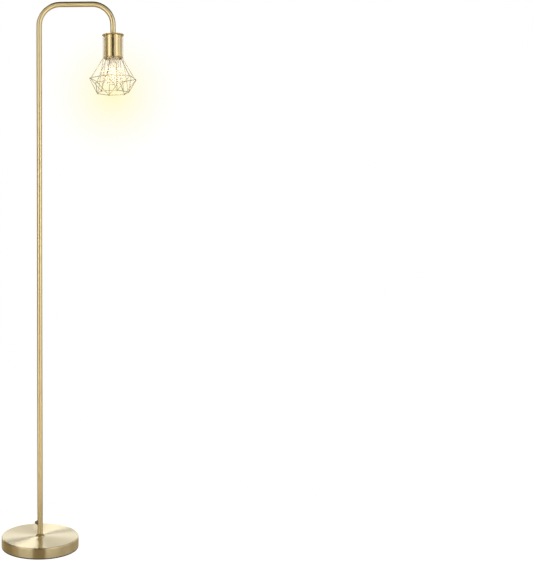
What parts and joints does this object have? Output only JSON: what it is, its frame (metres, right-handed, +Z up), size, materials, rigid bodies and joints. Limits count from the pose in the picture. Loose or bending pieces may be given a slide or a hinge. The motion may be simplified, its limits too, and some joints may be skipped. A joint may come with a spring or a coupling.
{
  "type": "floor lamp",
  "caption": "Arched floor lamp: a slim pole on a round weighted base, and a bare screw-cap bulb that hangs under a cup inside an open faceted wire cage.",
  "frame": {"origin": "centre of the base's underside, on the floor", "axes": "+Z up along the pole, +X from the pole towards the hanging head, +Y to the back"},
  "size_m": [0.4017, 0.2286, 1.612],
  "materials": {
    "satin_brass": "satin brushed brass plating, clear lacquer",
    "wire_brass": "smooth satin brass plating on round wire",
    "cast_weight": "raw casting",
    "pad_foam": "matt foam rubber",
    "zinc_steel": "zinc plated steel",
    "contact_brass": "bare pressed brass",
    "socket_ceramic": "glazed white porcelain",
    "bushing_plastic": "moulded, matt dark bronze",
    "lead_sheath": "smooth flexible sheath",
    "core_insulation": "smooth core insulation",
    "bulb_clear_glass": "clear, faintly warm",
    "filament_metal": "drawn wire, lit",
    "bulb_cap_metal": "bright rolled sheet",
    "solder": "dull solder",
    "insulator_glass": "black vitreous ring"
  },
  "bodies": {
    "lamp": {"arch_end_insert": "zinc_steel", "arch_foot_insert": "zinc_steel", "arch_tube": "satin_brass", "base_cover": "satin_brass", "base_nut": "zinc_steel", "base_pad": "pad_foam", "base_stud": "zinc_steel", "base_washer": "zinc_steel", "base_weight": "cast_weight", "cage_bottom_ring": "wire_brass", "cage_bottom_wire_1": "wire_brass", "cage_bottom_wire_2": "wire_brass", "cage_bottom_wire_3": "wire_brass", "cage_bottom_wire_4": "wire_brass", "cage_bottom_wire_5": "wire_brass", "cage_bottom_wire_6": "wire_brass", "cage_middle_ring": "wire_brass", "cage_middle_wire_1": "wire_brass", "cage_middle_wire_2": "wire_brass", "cage_middle_wire_3": "wire_brass", "cage_middle_wire_4": "wire_brass", "cage_middle_wire_5": "wire_brass", "cage_middle_wire_6": "wire_brass", "cage_neck_ring": "wire_brass", "cage_top_plate": "satin_brass", "cage_zigzag_wire": "wire_brass", "cord_bushing": "bushing_plastic", "head_lock_nut": "zinc_steel", "head_nipple": "zinc_steel", "head_washer": "zinc_steel", "lamp_lead": "lead_sheath", "lead_cores": "core_insulation", "lower_joint_stud": "zinc_steel", "lower_pole": "satin_brass", "lower_pole_foot_insert": "zinc_steel", "lower_pole_top_insert": "zinc_steel", "middle_joint_stud": "zinc_steel", "middle_pole": "satin_brass", "middle_pole_foot_insert": "zinc_steel", "middle_pole_top_insert": "zinc_steel", "pole_flange": "satin_brass", "socket_body": "socket_ceramic", "socket_cap": "zinc_steel", "socket_centre_contact": "contact_brass", "socket_cup": "satin_brass", "socket_screw_shell": "contact_brass", "socket_terminal_screws": "zinc_steel", "upper_joint_stud": "zinc_steel", "upper_pole": "satin_brass", "upper_pole_foot_insert": "zinc_steel", "upper_pole_top_insert": "zinc_steel"},
    "bulb": {"bulb_contact": "solder", "bulb_filament": "filament_metal", "bulb_glass": "bulb_clear_glass", "bulb_insulator": "insulator_glass", "bulb_screw_cap": "bulb_cap_metal", "bulb_stem": "bulb_clear_glass", "bulb_support_wires": "filament_metal"}
  },
  "joints": [
    {"name": "bulb_pull", "type": "slide", "parent": "lamp", "child": "bulb", "axis": [0, 0, -1], "range_m": [0, 0.14]}
  ]
}
